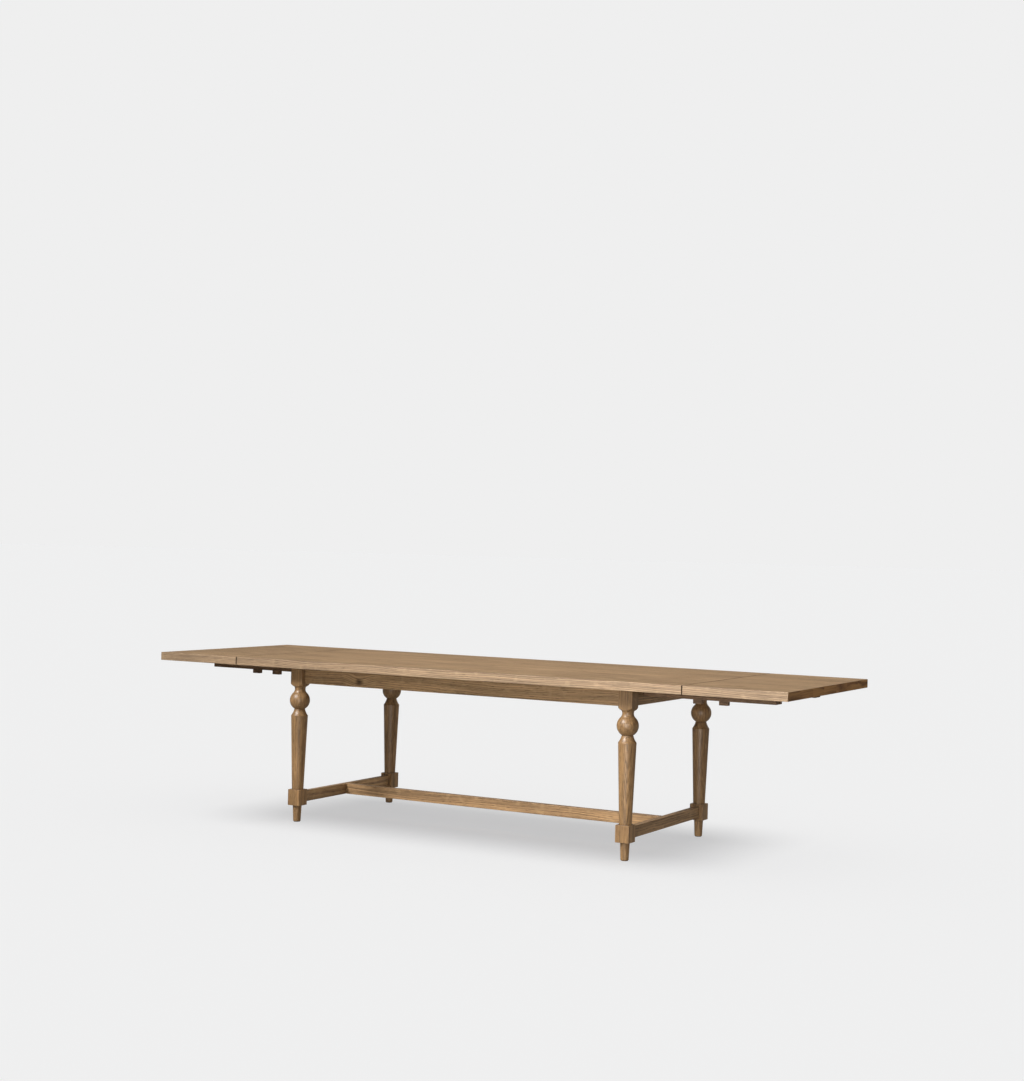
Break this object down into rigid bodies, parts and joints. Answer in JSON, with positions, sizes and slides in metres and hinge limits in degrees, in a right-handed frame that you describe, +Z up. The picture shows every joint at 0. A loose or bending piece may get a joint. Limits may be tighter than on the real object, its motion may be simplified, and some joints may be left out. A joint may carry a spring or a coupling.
{
  "type": "extendable dining table",
  "caption": "Long oak dining table on turned legs with an H stretcher; a leaf at each end is carried by wooden runners that pull out from under the top.",
  "frame": {"origin": "on the floor under the middle of the table", "axes": "+X along the table towards the right end, +Y across it towards the back, +Z up"},
  "size_m": [3.203, 1.016, 0.762],
  "materials": {
    "oak_top": "brushed and waxed oak, honey brown, matt",
    "oak_base": "waxed oak, grey-brown, low sheen",
    "oak_runner": "oiled oak, darker, matt",
    "hidden_wood": "planed oak, unfinished",
    "brass": "turned",
    "zinc_steel": "zinc plated",
    "nylon_pad": "matt"
  },
  "bodies": {
    "table_frame": {"apron_back": "oak_base", "apron_front": "oak_base", "apron_left": "oak_base", "apron_right": "oak_base", "bracket_screws": "zinc_steel", "corner_block_back_left": "hidden_wood", "corner_block_back_right": "hidden_wood", "corner_block_front_left": "hidden_wood", "corner_block_front_right": "hidden_wood", "corner_block_screws": "zinc_steel", "cross_rail_left": "hidden_wood", "cross_rail_right": "hidden_wood", "foot_pads": "nylon_pad", "hanger_bolts": "zinc_steel", "hanger_nuts": "zinc_steel", "hanger_washers": "zinc_steel", "leg_back_left": "oak_base", "leg_back_right": "oak_base", "leg_front_left": "oak_base", "leg_front_right": "oak_base", "main_top": "oak_top", "pin_bushes": "brass", "stretcher_centre": "oak_base", "stretcher_left": "oak_base", "stretcher_right": "oak_base", "top_brackets": "zinc_steel", "top_hanger_back_left": "oak_runner", "top_hanger_back_right": "oak_runner", "top_hanger_front_left": "oak_runner", "top_hanger_front_right": "oak_runner", "top_hanger_screws": "zinc_steel"},
    "left_leaf": {"leaf_hanger_back_left": "oak_runner", "leaf_hanger_front_left": "oak_runner", "leaf_hanger_screws_left": "zinc_steel", "leaf_left": "oak_top", "leaf_pins_left": "brass"},
    "right_leaf": {"leaf_hanger_back_right": "oak_runner", "leaf_hanger_front_right": "oak_runner", "leaf_hanger_screws_right": "zinc_steel", "leaf_pins_right": "brass", "leaf_right": "oak_top"},
    "front_left_runner": {"runner_front_left": "oak_runner"},
    "front_right_runner": {"runner_front_right": "oak_runner"},
    "back_left_runner": {"runner_back_left": "oak_runner"},
    "back_right_runner": {"runner_back_right": "oak_runner"}
  },
  "joints": [
    {"name": "front_left_runner_slide", "type": "slide", "parent": "table_frame", "child": "front_left_runner", "axis": [1, 0, 0], "range_m": [0, 0.335]},
    {"name": "back_left_runner_slide", "type": "slide", "parent": "table_frame", "child": "back_left_runner", "axis": [1, 0, 0], "range_m": [0, 0.335]},
    {"name": "left_leaf_pull", "type": "slide", "parent": "table_frame", "child": "left_leaf", "axis": [-1, 0, 0], "range_m": [0, 0.3]},
    {"name": "front_right_runner_slide", "type": "slide", "parent": "table_frame", "child": "front_right_runner", "axis": [-1, 0, 0], "range_m": [0, 0.335]},
    {"name": "back_right_runner_slide", "type": "slide", "parent": "table_frame", "child": "back_right_runner", "axis": [-1, 0, 0], "range_m": [0, 0.335]},
    {"name": "right_leaf_pull", "type": "slide", "parent": "table_frame", "child": "right_leaf", "axis": [1, 0, 0], "range_m": [0, 0.3]}
  ]
}
